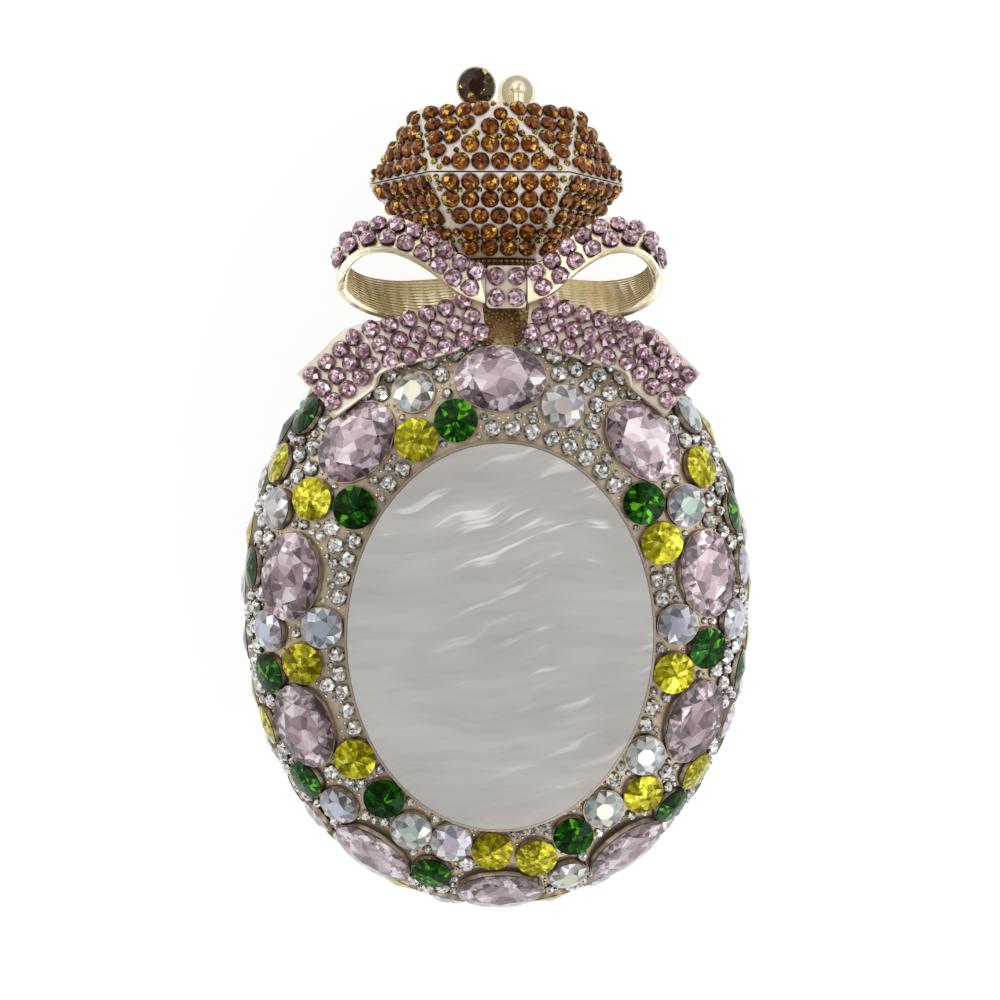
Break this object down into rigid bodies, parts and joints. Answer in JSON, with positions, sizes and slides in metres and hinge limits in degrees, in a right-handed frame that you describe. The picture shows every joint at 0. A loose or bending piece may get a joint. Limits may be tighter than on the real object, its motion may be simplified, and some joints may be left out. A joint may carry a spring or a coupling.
{
  "type": "clutch bag",
  "caption": "Hard evening clutch shaped like a perfume bottle, crystal-set halves hinged at the foot, with a faceted stopper, a kiss lock and a bow.",
  "frame": {"origin": "centre of the rear mother-of-pearl face, which the clutch rests on", "axes": "+Y towards the stopper, +Z out of the front face with the bow, +X to the right seen from the front"},
  "size_m": [0.1112, 0.1822, 0.0541],
  "materials": {
    "gold": "pale champagne gold plate, bright and slightly brushed",
    "dark_gold": "antique gold plate, brushed, pebbled on the neck and ribbed inside the loops",
    "mother_of_pearl": "polished mother-of-pearl with soft wavy bands",
    "satin": "champagne satin over a moulded tray",
    "rose_stone": "faceted pale rose crystal, foiled back",
    "green_stone": "faceted fern green crystal, foiled back",
    "yellow_stone": "faceted citrine yellow crystal, foiled back",
    "aurora_stone": "faceted clear crystal with an iridescent coating",
    "clear_stone": "small faceted clear crystals, foiled back",
    "amber_stone": "faceted amber brown crystal, foiled back",
    "pink_stone": "small faceted pink crystals, foiled back"
  },
  "bodies": {
    "rear_half": {"rear_shell": "gold", "rear_frame": "gold", "rear_lining": "satin", "rear_bezel": "gold", "rear_pearl": "mother_of_pearl", "rear_neck": "dark_gold", "rear_bead_band": "dark_gold", "rear_stopper_base": "gold", "rear_stopper_crown": "gold", "rear_knob": "gold", "rear_knob_stone": "amber_stone", "rear_knuckles": "gold", "rear_collets": "gold", "rear_oval_stones": "rose_stone", "rear_green_stones": "green_stone", "rear_yellow_stones": "yellow_stone", "rear_aurora_stones": "aurora_stone", "rear_clear_stones": "clear_stone", "rear_base_stones": "amber_stone", "rear_crown_stones": "amber_stone", "hinge_pin": "gold"},
    "front_half": {"front_shell": "gold", "front_frame": "gold", "front_lining": "satin", "front_bezel": "gold", "front_pearl": "mother_of_pearl", "front_neck": "dark_gold", "front_bead_band": "dark_gold", "front_stopper_base": "gold", "front_stopper_crown": "gold", "front_knob": "gold", "front_knob_stone": "amber_stone", "front_knuckles": "gold", "front_collets": "gold", "front_oval_stones": "rose_stone", "front_green_stones": "green_stone", "front_yellow_stones": "yellow_stone", "front_aurora_stones": "aurora_stone", "front_clear_stones": "clear_stone", "front_base_stones": "amber_stone", "front_crown_stones": "amber_stone", "bow_post": "gold", "bow_knot": "gold", "bow_left_loop": "dark_gold", "bow_right_loop": "dark_gold", "bow_left_tail": "gold", "bow_right_tail": "gold", "bow_loop_stones": "pink_stone", "bow_tail_stones": "pink_stone", "bow_knot_stones": "pink_stone"}
  },
  "joints": [
    {"name": "lid_hinge", "type": "hinge", "parent": "rear_half", "child": "front_half", "pos_m": [0, -0.0646, 0.027], "axis": [1, 0, 0], "range_deg": [0, 80]}
  ]
}
